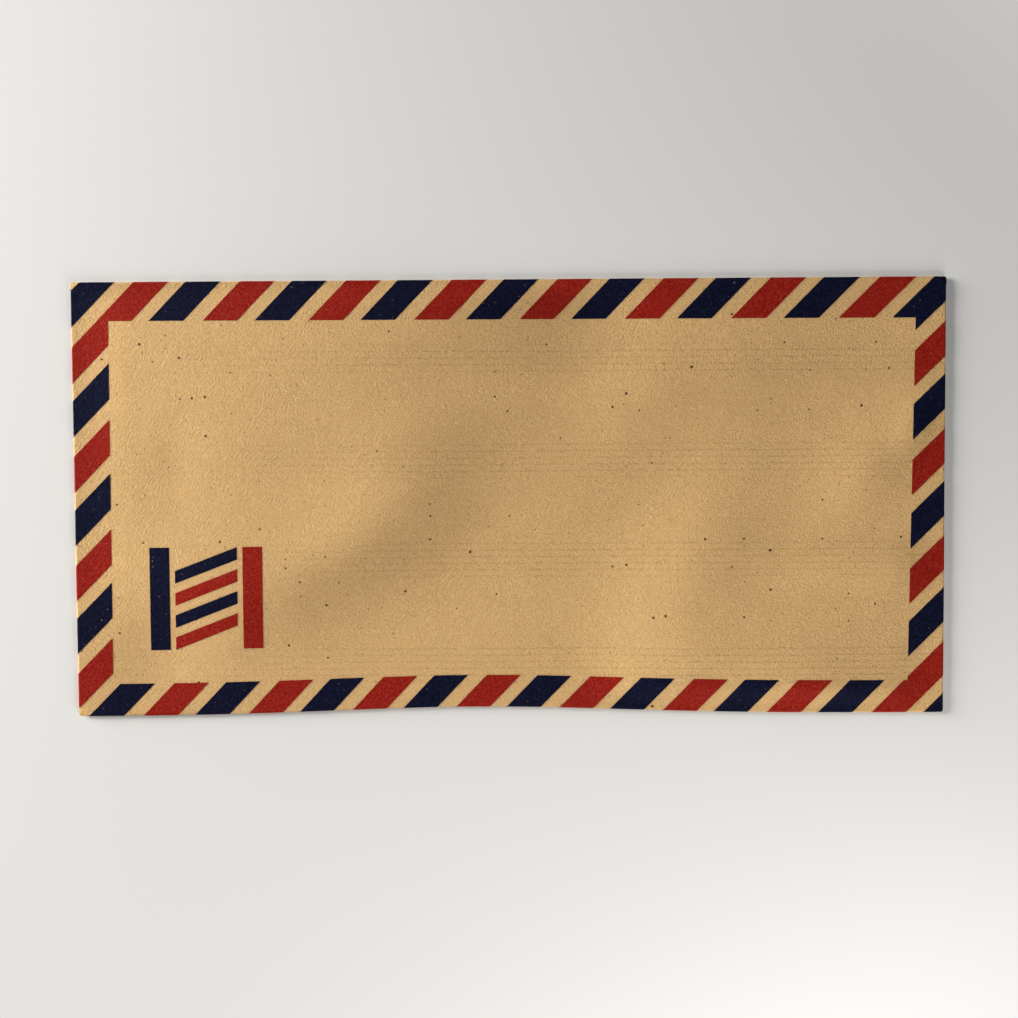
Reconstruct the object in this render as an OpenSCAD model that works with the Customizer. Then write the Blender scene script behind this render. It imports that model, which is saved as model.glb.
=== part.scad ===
// Airmail envelope, long wallet style, folded from one sheet of kraft paper.
// It lies on its back: X runs along the long side, Y towards the closed top fold, Z up through the front.
// The origin is under the middle of the envelope, on the surface that it lies on.

/* [Envelope] */
// Length between the two side folds
env_w = 220; // [200:1:240]
// Height between the bottom fold and the top fold
env_h = 110; // [104:1:124]
// Thickness of the paper
paper_t = 0.13; // [0.1:0.01:0.2]
// Height of the front's soft swell
swell_h = 2.6; // [0.6:0.1:4]
// Share of that height that the soft valley across the swell takes away
valley_share = 0.75; // [0:0.05:0.9]
// Where the valley crosses the envelope's middle line
valley_x = 2; // [-20:0.5:20]
// Half width of the valley
valley_w = 26; // [18:0.5:40]
// Angle by which the valley leans over to the right
valley_angle = 35; // [0:1:50]

/* [Folds] */
// Clear gap between the front and the flaps folded in behind it
pocket_gap = 0.35; // [0.25:0.05:0.8]
// Gap between the closing flap and the back that it lies against
flap_lie = 0.1; // [0.05:0.05:0.3]
// Raw edge left between each corner and the nearest fold
corner_step = 1.5; // [1:0.1:2]
// Straight facets that make up half a turn of a fold
fold_facets = 6; // [4:2:8]

/* [Side flaps] */
// Width of each side flap
side_w = 18; // [14:0.5:24]
// Distance from the ends of a side flap to the top and bottom folds, at its own fold
side_end = 2.2; // [2.1:0.1:3]
// The same distance at the flap's inner edge
side_end_inner = 7; // [5:0.1:7.6]

/* [Back] */
// Distance from the top fold to the ends of the back panel's upper edge
throat_gap = 17; // [13:0.5:24]
// How far the middle of that edge dips
throat_dip = 5; // [2:0.5:10]

/* [Closing flap] */
// Height of the closing flap
flap_h = 42; // [34:0.5:48]
// How much each end of the closing flap slants in
flap_taper = 9; // [4:0.5:16]
// Radius of the closing flap's free corners
flap_corner = 6; // [3:0.5:7.5]
// Distance over which the back panel climbs onto the closing flap
climb = 18; // [12:0.5:30]
// Distance between the top of that climb and the closing flap's edge
climb_rest = 8; // [7.5:0.5:12]

/* [Printed border] */
// Width of the printed border on the left
border_left = 9.35; // [8.5:0.05:11]
// Width of the printed border on the right
border_right = 8.2; // [8:0.05:11]
// Width of the printed border at the top
border_top = 9.95; // [8:0.05:11]
// Width of the printed border at the bottom
border_bottom = 8.2; // [8:0.05:11]
// Width of a stripe, measured along the long side
stripe_w = 8.3; // [5:0.1:11]
// Distance from one navy stripe to the next
stripe_pitch = 26.65; // [24:0.05:34]
// Distance from a navy stripe to the red stripe on its right
stripe_lag = 13.6; // [12.5:0.05:14.5]
// Where a navy stripe crosses the envelope's middle line
stripe_shift = 3.3; // [-13:0.1:13]
// Angle by which a stripe leans over to the right
stripe_angle = 44; // [30:0.5:52]
// Thickness of the ink
ink_t = 0.02; // [0.01:0.005:0.04]

/* [Printed badge] */
// Distance from the left side fold to the badge
badge_x = 18.8; // [14:0.1:40]
// Distance from the bottom fold to the badge
badge_y = 16.8; // [14:0.1:40]
// Length of the badge
badge_w = 28.6; // [22:0.1:40]
// Height of the badge
badge_h = 26.2; // [20:0.1:36]
// Width of the badge's two upright bars
badge_bar = 5; // [3:0.1:6]
// Gap between an upright bar and the slanting bars
badge_gap = 1.4; // [1:0.1:2.5]
// Number of slanting bars
badge_slats = 4; // [3:1:5]
// Height of a slanting bar
badge_slat = 3.2; // [2:0.1:3.4]
// How far a slanting bar climbs from left to right
badge_climb = 6; // [0:0.5:8]

/* [Hidden] */
kraft = "#c8a06c";
red = "#a0231c";
navy = "#17183c";

// Cells along and across the plain field, in the border beside it and down the closing flap
field_cols = 22;
field_rows = 12;
border_cols = 3;
flap_rows = 6;

// Height of the front's outer face in the border, above the surface that the envelope lies on
front_z = 4 * paper_t + flap_lie + pocket_gap;
// Height by which the back panel rises over the closing flap
back_rise = paper_t + flap_lie;
// Where the flat faces end and the folds begin
fold_x = env_w / 2 - (front_z - paper_t) / 2;
fold_y = env_h / 2 - front_z / 2;
step_x = env_w / 2 - corner_step;
step_y = env_h / 2 - corner_step;
// Inner edges of the printed border
left_x = border_left - env_w / 2;
right_x = env_w / 2 - border_right;
top_y = env_h / 2 - border_top;
bottom_y = border_bottom - env_h / 2;
// Inner edge of a side flap, and the edges of the back panel and of the closing flap
side_x = env_w / 2 - side_w;
throat_y = env_h / 2 - throat_gap;
flap_y = fold_y - flap_h;
climb_y = flap_y - climb_rest;

function mix(a, b, s) = a + (b - a) * s;
function clamp(s) = max(0, min(1, s));
function ease(s) = clamp(s) * clamp(s) * (3 - 2 * clamp(s));

// Swell of the front: flat all along the border, and parted by a leaning valley into two soft domes
function bump(s) = abs(s) < 1 ? pow(1 - s * s, 2) : 0;
function across(s, a, b) = (2 * s - a - b) / (b - a);
function valley_at(x, y) = bump(((x - valley_x) * cos(valley_angle) - y * sin(valley_angle)) / valley_w);
function swell_at(x, y) =
    swell_h * bump(across(x, left_x, right_x)) * bump(across(y, bottom_y, top_y))
    * (1 - valley_share * valley_at(x, y));
function front_at(x, y) = front_z + swell_at(x, y);
// Lift of the back panel, nothing on the lower half and full under the closing flap
function back_at(y) = back_rise * ease(1 + (y - climb_y) / climb);

// The sheet is a net of cells. Its columns run from fold to fold
left_fold = [-fold_x];
left_border = [for (n = [0 : border_cols]) mix(-step_x, left_x, n / border_cols)];
field = [for (n = [0 : field_cols]) mix(-side_x, side_x, n / field_cols)];
right_border = [for (n = [0 : border_cols]) mix(right_x, step_x, n / border_cols)];
right_fold = [fold_x];
col_x = concat(left_fold, left_border, field, right_border, right_fold);
last_col = len(col_x) - 1;
step_col = len(left_fold);
side_col = step_col + len(left_border);

// Its rows run from the bottom fold to the top fold. Two of them slant with the ends of the side flaps,
// and one dips with the upper edge of the back panel
edge_rows = ["fold", "step", "side flap's end"];
field_row = len(edge_rows);
end_row = field_row - 1;
throat_row = field_row + field_rows;
top_row = throat_row + 1;
far_end_row = top_row + 1;
last_row = far_end_row + 2;
function side_end_at(x) = mix(side_end, side_end_inner, clamp((env_w / 2 - abs(x)) / side_w));
function throat_at(x) = throat_y - throat_dip * bump(x / side_x);
function row_y(row, x) =
    row == 0 ? -fold_y :
    row == 1 ? -step_y :
    row == end_row ? side_end_at(x) - env_h / 2 :
    row <= throat_row ? mix(bottom_y, throat_at(x), (row - field_row) / field_rows) :
    row == top_row ? top_y :
    row == far_end_row ? env_h / 2 - side_end_at(x) :
    row == far_end_row + 1 ? step_y :
    fold_y;

// The closing flap hangs from the top fold and has cells of its own
flap_row = last_row - flap_rows;
function flap_part(row) = clamp((last_row - row) / flap_rows);
function corner_cut(u) =
    u < flap_corner ? flap_corner - sqrt(pow(flap_corner, 2) - pow(flap_corner - u, 2)) : 0;
function flap_x(x, s) = x * (1 - s * flap_taper / step_x);
function flap_at(x, s) = fold_y - s * (flap_h - s * s * corner_cut(max(0, step_x - abs(x))));

// The layers, from the lowest up. The flaps that are glued to the back lie straight on it
layers = ["closing flap", "gap", "back", "side flap", "pocket", "front"];
function layer(name) = search([name], layers)[0];
FLAP = layer("closing flap");
BACK = layer("back");
SIDE = layer("side flap");
FRONT = layer("front");
levels = len(layers) + 1;
function net_point(col, row, level) =
    let (x = col_x[col], y = row_y(row, x), s = flap_part(row))
    level <= FLAP + 1 ? [flap_x(x, s), flap_at(x, s), (level - FLAP) * paper_t] :
    level < FRONT ? [x, y, back_at(y) + (level - BACK) * paper_t] :
    [x, y, front_at(x, y) + (level - FRONT - 1) * paper_t];

// Which cells hold paper
function inside_steps(col) = col >= step_col && col < last_col - step_col;
function beside_fold(col) = col < side_col || col >= last_col - side_col;
function has_paper(col, row, level) =
    col < 0 || row < 0 || col >= last_col || row >= last_row ? false :
    level == FRONT ? true :
    level == SIDE ? beside_fold(col) && row >= end_row && row < far_end_row :
    level == BACK ? inside_steps(col) && row < throat_row :
    level == FLAP ? inside_steps(col) && row >= flap_row :
    false;

// Points are numbered column by column, then row by row, then level by level
function net_index(col, row, level) = (col * (last_row + 1) + row) * levels + level;
net_points = [
    for (col = [0 : last_col], row = [0 : last_row], level = [0 : levels - 1]) net_point(col, row, level)
];

// A face, turned round where asked
function face(q, turned = false) = turned
    ? [[q[3], q[2], q[1]], [q[3], q[1], q[0]]]
    : [[q[0], q[1], q[2]], [q[0], q[2], q[3]]];

// Which sides of a cell carry a fold
function side_folded(line, row, level) =
    (line == 0 || line == last_col) && (level == FRONT || level == SIDE)
    && row >= end_row && row < far_end_row;
function end_folded(col, line, level) =
    line == 0 ? inside_steps(col) && (level == FRONT || level == BACK) :
    line == last_row ? inside_steps(col) && (level == FRONT || level == FLAP) :
    false;

// The bare faces of one cell. A side that carries a fold isn't bare
function cell_faces(c, r, k) =
    let (n = function(a, b, h) net_index(c + a, r + b, k + h))
    let (flat_sides = concat(
        has_paper(c, r, k + 1) ? [] : face([n(0, 0, 1), n(0, 1, 1), n(1, 1, 1), n(1, 0, 1)]),
        has_paper(c, r, k - 1) ? [] : face([n(0, 0, 0), n(1, 0, 0), n(1, 1, 0), n(0, 1, 0)])
    ))
    concat(
        flat_sides,
        has_paper(c - 1, r, k) || side_folded(c, r, k) ? [] :
            face([n(0, 0, 0), n(0, 1, 0), n(0, 1, 1), n(0, 0, 1)]),
        has_paper(c + 1, r, k) || side_folded(c + 1, r, k) ? [] :
            face([n(1, 0, 0), n(1, 0, 1), n(1, 1, 1), n(1, 1, 0)]),
        has_paper(c, r - 1, k) || end_folded(c, r, k) ? [] :
            face([n(0, 0, 0), n(0, 0, 1), n(1, 0, 1), n(1, 0, 0)]),
        has_paper(c, r + 1, k) || end_folded(c, r + 1, k) ? [] :
            face([n(0, 1, 0), n(1, 1, 0), n(1, 1, 1), n(0, 1, 1)])
    );

// A fold is half a turn of paper between the front and the panel behind it.
// Each fold is [direction it bulges in, first station, last station, level of the panel behind]
folds = [
    [[-1, 0], end_row, far_end_row, SIDE],
    [[1, 0], end_row, far_end_row, SIDE],
    [[0, -1], step_col, last_col - step_col, BACK],
    [[0, 1], step_col, last_col - step_col, FLAP]
];
function fold_node(fold, station, level) =
    fold[0][0] != 0
        ? net_index(fold[0][0] < 0 ? 0 : last_col, station, level)
        : net_index(station, fold[0][1] < 0 ? 0 : last_row, level);
// Points between the two ends of the half turn, outer face first
turns = fold_facets - 1;
function fold_point(fold, station, turn, inner) =
    let (top = net_points[fold_node(fold, station, FRONT + 1 - inner)])
    let (low = net_points[fold_node(fold, station, fold[3] + inner)])
    let (r = (top[2] - low[2]) / 2, angle = 180 * turn / fold_facets)
    let (out = r * sin(angle))
    [top[0] + fold[0][0] * out, top[1] + fold[0][1] * out, low[2] + r * (1 + cos(angle))];
fold_points = [
    for (fold = folds, station = [fold[1] : fold[2]], turn = [1 : turns], inner = [0, 1])
        fold_point(fold, station, turn, inner)
];
function stations_before(f) = f == 0 ? 0 : stations_before(f - 1) + folds[f - 1][2] - folds[f - 1][1] + 1;
function fold_index(f, station, turn, inner) =
    turn == 0 ? fold_node(folds[f], station, FRONT + 1 - inner) :
    turn == fold_facets ? fold_node(folds[f], station, folds[f][3] + inner) :
    len(net_points) + ((stations_before(f) + station - folds[f][1]) * turns + turn - 1) * 2 + inner;
function fold_faces(f) =
    let (fold = folds[f], turned = fold[0][0] < 0 || fold[0][1] > 0)
    let (n = function(station, turn, inner) fold_index(f, station, turn, inner))
    concat(
        [for (s = [fold[1] : fold[2] - 1], t = [0 : turns])
            each face([n(s, t, 0), n(s + 1, t, 0), n(s + 1, t + 1, 0), n(s, t + 1, 0)], turned)],
        [for (s = [fold[1] : fold[2] - 1], t = [0 : turns])
            each face([n(s, t, 1), n(s + 1, t, 1), n(s + 1, t + 1, 1), n(s, t + 1, 1)], !turned)],
        [for (t = [0 : turns])
            let (s = fold[1])
            each face([n(s, t, 0), n(s, t + 1, 0), n(s, t + 1, 1), n(s, t, 1)], turned)],
        [for (t = [0 : turns])
            let (s = fold[2])
            each face([n(s, t, 0), n(s, t + 1, 0), n(s, t + 1, 1), n(s, t, 1)], !turned)]
    );

sheet_faces = [
    for (level = [FLAP, BACK, SIDE, FRONT], col = [0 : last_col - 1], row = [0 : last_row - 1])
        if (has_paper(col, row, level)) each cell_faces(col, row, level)
];

// The whole sheet, folded and glued, as one piece of paper
module envelope() {
    color(kraft)
        polyhedron(
            points = concat(net_points, fold_points),
            faces = concat(sheet_faces, [for (f = [0 : len(folds) - 1]) each fold_faces(f)])
        );
}

// Flat outline of the printed border
module border() {
    difference() {
        translate([-fold_x, -fold_y]) square([2 * fold_x, 2 * fold_y]);
        translate([left_x, bottom_y]) square([right_x - left_x, top_y - bottom_y]);
    }
}

// Every stripe of one colour across the whole front, the first one at the given place
module stripes(first) {
    reach = env_h / 2;
    run = tan(stripe_angle) * reach;
    most = ceil((env_w / 2 + run) / stripe_pitch) + 1;
    for (n = [-most : most])
        translate([first + n * stripe_pitch, 0])
            polygon([
                [-run - stripe_w / 2, -reach],
                [-run + stripe_w / 2, -reach],
                [run + stripe_w / 2, reach],
                [run - stripe_w / 2, reach]
            ]);
}

module striped_border(first) {
    translate([0, 0, front_z])
        linear_extrude(ink_t)
            intersection() {
                border();
                stripes(first);
            }
}

// A field of ink between four corners, laid over the swell of the front.
// It keeps just clear of the paper's facets, which cut the swell by about this share of its height
sag_ratio = 0.015;
ink_clear = ink_t / 2 + sag_ratio * swell_h;
field_cells = 4;
function field_at(q, u, v) = mix(mix(q[0], q[1], u), mix(q[3], q[2], u), v);
function field_index(a, b, up) = (up * (field_cells + 1) + a) * (field_cells + 1) + b;
module ink_field(q) {
    points = [
        for (up = [0, 1], a = [0 : field_cells], b = [0 : field_cells])
            let (p = field_at(q, a / field_cells, b / field_cells))
            [p[0], p[1], front_at(p[0], p[1]) + ink_clear + up * ink_t]
    ];
    spans = [0 : field_cells - 1];
    n = function(a, b, up) field_index(a, b, up);
    over = [for (a = spans, b = spans)
        each face([n(a, b, 1), n(a, b + 1, 1), n(a + 1, b + 1, 1), n(a + 1, b, 1)])];
    under = [for (a = spans, b = spans)
        each face([n(a, b, 0), n(a + 1, b, 0), n(a + 1, b + 1, 0), n(a, b + 1, 0)])];
    ends = [for (b = spans, far = [0, 1])
        let (a = far * field_cells)
        each face([n(a, b, 0), n(a, b + 1, 0), n(a, b + 1, 1), n(a, b, 1)], far == 1)];
    sides = [for (a = spans, far = [0, 1])
        let (b = far * field_cells)
        each face([n(a + 1, b, 0), n(a, b, 0), n(a, b, 1), n(a + 1, b, 1)], far == 1)];
    polyhedron(points = points, faces = concat(over, under, ends, sides));
}

// Upright bar of the badge, from its lower left corner
badge_left = badge_x - env_w / 2;
badge_low = badge_y - env_h / 2;
function upright(x) = [
    [x, badge_low],
    [x + badge_bar, badge_low],
    [x + badge_bar, badge_low + badge_h],
    [x, badge_low + badge_h]
];
// Slanting bar of the badge, counted from the lowest
function slat(n) =
    let (low = badge_low + n * (badge_h - badge_slat - badge_climb) / (badge_slats - 1))
    let (from = badge_left + badge_bar + badge_gap, to = badge_left + badge_w - badge_bar - badge_gap)
    [[from, low], [to, low + badge_climb], [to, low + badge_climb + badge_slat], [from, low + badge_slat]];

module navy_print() {
    color(navy) {
        striped_border(stripe_shift);
        ink_field(upright(badge_left));
        for (n = [1 : 2 : badge_slats - 1]) ink_field(slat(n));
    }
}

module red_print() {
    color(red) {
        striped_border(stripe_shift + stripe_lag);
        ink_field(upright(badge_left + badge_w - badge_bar));
        for (n = [0 : 2 : badge_slats - 1]) ink_field(slat(n));
    }
}

envelope();
red_print();
navy_print();
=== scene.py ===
# %% [markdown]
# # A long airmail envelope, folded from one sheet of kraft paper
# The envelope lies on its back with its printed front up. The construction, its size and its folds
# come from a solid model, which is loaded here as a fixed frame. This script makes what the eye
# sees around that frame: the thin folded sheet with its soft dents, the two printing inks that lie
# on it as films, and the surfaces of kraft paper and ink.
# Paper is measured in millimetres, so the sizes are worked out in them, and are turned to metres
# only when they go into Blender.

# %% Load the frame
import math

import bmesh
import bpy
import numpy as np
from mathutils import Matrix, Vector


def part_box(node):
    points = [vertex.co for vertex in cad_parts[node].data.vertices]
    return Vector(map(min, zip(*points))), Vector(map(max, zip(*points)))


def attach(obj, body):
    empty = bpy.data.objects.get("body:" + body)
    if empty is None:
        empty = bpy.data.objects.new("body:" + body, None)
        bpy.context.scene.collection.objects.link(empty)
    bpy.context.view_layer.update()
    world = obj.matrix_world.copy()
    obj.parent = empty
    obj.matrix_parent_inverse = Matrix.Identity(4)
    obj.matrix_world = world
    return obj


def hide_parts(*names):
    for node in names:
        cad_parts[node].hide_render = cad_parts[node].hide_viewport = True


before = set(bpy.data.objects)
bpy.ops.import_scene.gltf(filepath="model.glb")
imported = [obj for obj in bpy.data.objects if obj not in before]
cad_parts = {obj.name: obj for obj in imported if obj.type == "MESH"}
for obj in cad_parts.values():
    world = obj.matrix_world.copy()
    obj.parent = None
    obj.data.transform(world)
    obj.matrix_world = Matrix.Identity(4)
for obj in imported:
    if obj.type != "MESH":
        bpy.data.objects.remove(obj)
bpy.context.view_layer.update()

MM = 0.001
low, high = (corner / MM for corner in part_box("envelope"))
print("solid model's nodes:", sorted(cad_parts))
print("envelope, mm:", [round(size, 2) for size in high - low])

# %% [markdown]
# ## The camera
# The photograph looks almost square at the front, from about a third of a metre. The four corners
# of the envelope in the picture fix the tilt and the distance: a rectangle of 220 x 110 mm seen
# from there falls on those corners. The camera is made first, so that every later choice can be
# looked at from the right place. It keeps the whole picture sharp, with no depth of field. It is
# placed from the level of the printed front, where the solid model's ink begins.

# %% Place the camera
IMAGE_PX, FOCAL_PX = 1018, 1300
SENSOR = 36.0
NEAREST = 0.01  # metres
TILT = [math.radians(angle) for angle in (2.52, -0.357, 0.345)]
AWAY = Vector((-0.07, 2.68, -328.5)) * MM
front_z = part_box("red_print")[0].z / MM

view = Matrix.Translation(AWAY)
for angle, axis in zip(reversed(TILT), "ZYX"):
    view = view @ Matrix.Rotation(angle, 4, axis)
lens = bpy.data.cameras.new("photo_camera")
lens.sensor_width = SENSOR
lens.lens = SENSOR * FOCAL_PX / IMAGE_PX
lens.clip_start = NEAREST
camera = bpy.data.objects.new("photo_camera", lens)
bpy.context.scene.collection.objects.link(camera)
camera.matrix_world = Matrix.Translation((0, 0, front_z * MM)) @ view.inverted()
bpy.context.scene.camera = camera
print("camera at, mm:", [round(c / MM, 1) for c in camera.matrix_world.translation])
print("lens, mm:", round(lens.lens, 1))

# %% [markdown]
# ## The sizes of the folded sheet
# A wallet envelope is one blank: a front, two side flaps, a back panel and a closing flap. The
# stack of layers sets every height. From the lowest up they are the closing flap, the back panel
# that climbs over it, the side flap glued to the back panel, the empty pocket, and the front.
# The length, the height and the level of the printed front are read from the frame. The rest are
# the maker's own sizes in millimetres, the same ones that the solid model has, but for the tips.

# %% Name the sizes of the paper
PAPER = 0.13  # thickness of the sheet
FLAP_LIE = 0.1  # air between the closing flap and the back panel
GLUE = 0.01  # film between a side flap and the back panel
SIDE_W = 18.0  # width of a side flap
SIDE_END, SIDE_END_INNER = 2.2, 7.0  # room beside its slanting ends, outside and inside
CORNER_STEP = 1.5  # how far the folds at the top and the bottom stop short of the sides
THROAT_GAP, THROAT_DIP = 17.0, 5.0  # upper edge of the back panel: its place and its dip
FLAP_H, FLAP_TAPER, FLAP_CORNER = 42.0, 9.0, 6.0  # closing flap: height, slant, round corners
CLIMB, CLIMB_REST = 18.0, 8.0  # length of the climb, and the level stretch before the flap
TIP_EASE, TIP_ROUND, TIP_CURVE, TIP_DROOP = 0.15, 0.35, 4, 0.5  # the four tips of the front

half_x, half_y = high.x, high.y
side_radius, end_radius = (front_z - PAPER) / 2, front_z / 2
fold_x, fold_y = half_x - side_radius, half_y - end_radius
step_x, step_y = half_x - CORNER_STEP, half_y - CORNER_STEP
side_x = half_x - SIDE_W
throat_y = half_y - THROAT_GAP
climb_y = fold_y - FLAP_H - CLIMB_REST
print("folds at, mm:", round(fold_x, 2), round(fold_y, 2))
print("radii of the folds, mm:", round(side_radius, 3), round(end_radius, 3))

# %% [markdown]
# ## The rules of the shape
# Where the back panel climbs, where a side flap ends and how the tips of the front stand out are
# rules that more than one panel follows, and the ink too, so each is a function. The four tips lie
# past the ends of the folds, where nothing holds the paper. Within TIP_EASE of a fold's end they
# stand out to the full outline, a little rounded, and droop by half of what they stand out.

# %% Write the rules of the shape
def ease(s):
    """Goes from 0 to 1 with no kink at either end."""
    s = np.clip(s, 0, 1)
    return s * s * (3 - 2 * s)


def back_at(y):
    """Height of the back panel's lower face, which climbs over the closing flap."""
    return (PAPER + FLAP_LIE) * ease(1 + (y - climb_y) / CLIMB)


def side_end_at(x):
    """Distance from the slanting end of a side flap to the top or bottom of the envelope."""
    return SIDE_END + (SIDE_END_INNER - SIDE_END) * np.clip((half_x - np.abs(x)) / SIDE_W, 0, 1)


end_y = half_y - float(side_end_at(fold_x))


def front_tips(x, y):
    """Where points of the flat front go: at the tips they stand out, and droop a little."""
    a = np.clip((np.abs(x) - step_x) / (fold_x - step_x), 0, 1)
    b = np.clip((np.abs(y) - step_y) / (fold_y - step_y), 0, 1)
    rounded = 1 - TIP_ROUND * (a * b) ** TIP_CURVE
    free_x = np.clip((np.abs(y) - end_y) / TIP_EASE, 0, 1) * rounded
    free_y = np.clip((np.abs(x) - step_x) / TIP_EASE, 0, 1) * rounded
    out_x, out_y = side_radius * a**2 * free_x, end_radius * b**2 * free_y
    return x + np.sign(x) * out_x, y + np.sign(y) * out_y, TIP_DROOP * (out_x * a + out_y * b)


print("free tips begin at, mm:", round(step_x, 2), round(end_y, 2))

# %% [markdown]
# ## Folding the blank
# The sheet could be a thin hollow box, but then it would have neither folds nor flaps inside. Here
# each panel is a grid of points that is bent round its fold by a formula, half a turn of a small
# circle, and all the panels share the points on their folds. Joined at those points, they are one
# sheet, as the real one is. The grid gives the middle of the paper, and its thickness comes
# last, so the folds keep the thickness of the paper too. The lines of a grid lie close together
# under the border and at the tips, where ink has to follow the paper, and wider in between.

# %% Rule the lines of the grids
COLUMNS, ROWS = 150, 66
BORDER, BORDER_LINES = 9.0, 14
TIP_LINES, TIP_ROOM = 7, 1.0
TURNS = 8
middle_z = front_z - PAPER / 2


def stations(fold, step, end, count):
    """Places of grid lines between two folds: at the tips, under the border and in between."""
    near = np.append(np.linspace(fold, step, TIP_LINES), [(step + end) / 2, end + TIP_EASE])
    border = np.linspace(end, end - BORDER, BORDER_LINES, endpoint=False)
    between = np.linspace(BORDER - end, end - BORDER, count + 1)
    return np.concatenate([-near, -border, between, border[::-1], near[::-1]])


xs = stations(fold_x, step_x, step_x - TIP_ROOM, COLUMNS)
ys = stations(fold_y, step_y, end_y, ROWS)
angles = np.linspace(0, math.pi, TURNS + 1)
print("lines of the front's grid:", len(xs), "by", len(ys))

# %% Bend the front and the side flaps
SIDE_COLUMNS = 12
SAME_LINE = 1e-6


def half_turn(start_z, end_z):
    """How far a fold stands out and how high it is, from the front round to the panel behind."""
    radius = (start_z - end_z) / 2
    return radius * np.sin(angles)[:, None], end_z + radius * (1 + np.cos(angles)[:, None])


def front_panel():
    """The front, flat from fold to fold, with its four free tips."""
    x, y, droop = front_tips(*np.meshgrid(xs, ys))
    return np.stack([x, y, middle_z - droop], axis=-1)


def side_flap(side):
    """Half a turn, then a flat flap that lies on the back panel and narrows inwards."""
    y = ys[np.abs(ys) < end_y + SAME_LINE]
    level = 1.5 * PAPER + GLUE
    out, z = half_turn(middle_z, back_at(y)[None, :] + level)
    turn = np.stack([side * (fold_x + out), np.broadcast_to(y, z.shape), z], axis=-1)
    x = np.linspace(fold_x, side_x, SIDE_COLUMNS + 1)[1:, None]
    flat_y = y[None, :] * (half_y - side_end_at(x)) / end_y
    flat_x = side * np.broadcast_to(x, flat_y.shape)
    flat = np.stack([flat_x, flat_y, back_at(flat_y) + level], axis=-1)
    return np.concatenate([turn, flat])


# %% Bend the back panel and the closing flap
BACK_ROWS, FLAP_ROWS = 40, 16


def long_fold(side):
    """The half turn at the bottom or at the top, and the places of its columns."""
    x = xs[np.abs(xs) < step_x + SAME_LINE]
    out, z = half_turn(middle_z, PAPER / 2)
    z = np.broadcast_to(z, (len(angles), len(x)))
    y = side * (fold_y + np.broadcast_to(out, z.shape))
    return x, np.stack([np.broadcast_to(x, z.shape), y, z], axis=-1)


def back_panel():
    """Half a turn at the bottom, then up to the dipped edge that the letter goes in behind."""
    x, turn = long_fold(-1)
    dip = np.where(np.abs(x) < side_x, (1 - (x / side_x) ** 2) ** 2, 0)
    share = np.linspace(0, 1, BACK_ROWS + 1)[1:, None]
    y = -fold_y + (throat_y - THROAT_DIP * dip + fold_y)[None, :] * share
    flat = np.stack([np.broadcast_to(x, y.shape), y, back_at(y) + PAPER / 2], axis=-1)
    return np.concatenate([turn, flat])


def closing_flap():
    """Half a turn at the top, then down behind the back panel to a free edge with round corners."""
    x, turn = long_fold(1)
    near_end = np.clip(FLAP_CORNER - (step_x - np.abs(x)), 0, FLAP_CORNER)
    cut = FLAP_CORNER - np.sqrt(FLAP_CORNER**2 - near_end**2)
    share = np.linspace(0, 1, FLAP_ROWS + 1)[1:, None]
    y = fold_y - share * (FLAP_H - share**2 * cut[None, :])
    flat_x = x[None, :] * (1 - share * FLAP_TAPER / step_x)
    flat = np.stack([flat_x, y, np.full_like(y, PAPER / 2)], axis=-1)
    return np.concatenate([turn, flat])


# %% Join the panels to one sheet
SAME_POINT = 1e-7


def add_grid(sheet, points):
    """Adds one panel's grid of points to the sheet as four-sided faces."""
    rows, columns = points.shape[:2]
    verts = [sheet.verts.new(point * MM) for point in points.reshape(-1, 3)]
    for r in range(rows - 1):
        for c in range(columns - 1):
            n = r * columns + c
            sheet.faces.new([verts[n], verts[n + 1], verts[n + columns + 1], verts[n + columns]])


sheet = bmesh.new()
for panel in (front_panel(), side_flap(-1), side_flap(1), back_panel(), closing_flap()):
    add_grid(sheet, panel)
bmesh.ops.remove_doubles(sheet, verts=sheet.verts, dist=SAME_POINT)
bmesh.ops.recalc_face_normals(sheet, faces=sheet.faces)
top_face = max(sheet.faces, key=lambda face: face.calc_center_median().z)
if top_face.normal.z < 0:
    bmesh.ops.reverse_faces(sheet, faces=sheet.faces)
flat_sheet = bpy.data.meshes.new("folded_sheet")
sheet.to_mesh(flat_sheet)
sheet.free()
print("folded sheet:", len(flat_sheet.polygons), "faces")

# %% [markdown]
# ## Trees of nodes
# Geometry Nodes and materials are both trees of nodes, so one small function adds a node to either,
# with its settings and with a value or a link for each input. A second one runs a finished tree
# on an object and turns the result into a plain mesh. It sets each of the tree's inputs by the
# identifier of its socket, because a modifier doesn't know the sockets by name. The three kinds of
# node that come up most have short names of their own.

# %% Helpers for trees of nodes
MATH, VECTOR_MATH, MAP_RANGE = "ShaderNodeMath", "ShaderNodeVectorMath", "ShaderNodeMapRange"


def add(tree, kind, inputs=(), **settings):
    """Adds a node. Each input is a value, or a node or a socket to link from."""
    node = tree.nodes.new(kind)
    for name, value in settings.items():
        setattr(node, name, value)
    for key, value in dict(inputs).items():
        named = [socket for socket in node.inputs if socket.enabled and socket.name == key]
        socket = named[0] if named else node.inputs[key]
        if isinstance(value, bpy.types.Node):
            value = next(out for out in value.outputs if out.enabled)
        if isinstance(value, bpy.types.NodeSocket):
            tree.links.new(value, socket)
        else:
            socket.default_value = value
    return node


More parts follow.
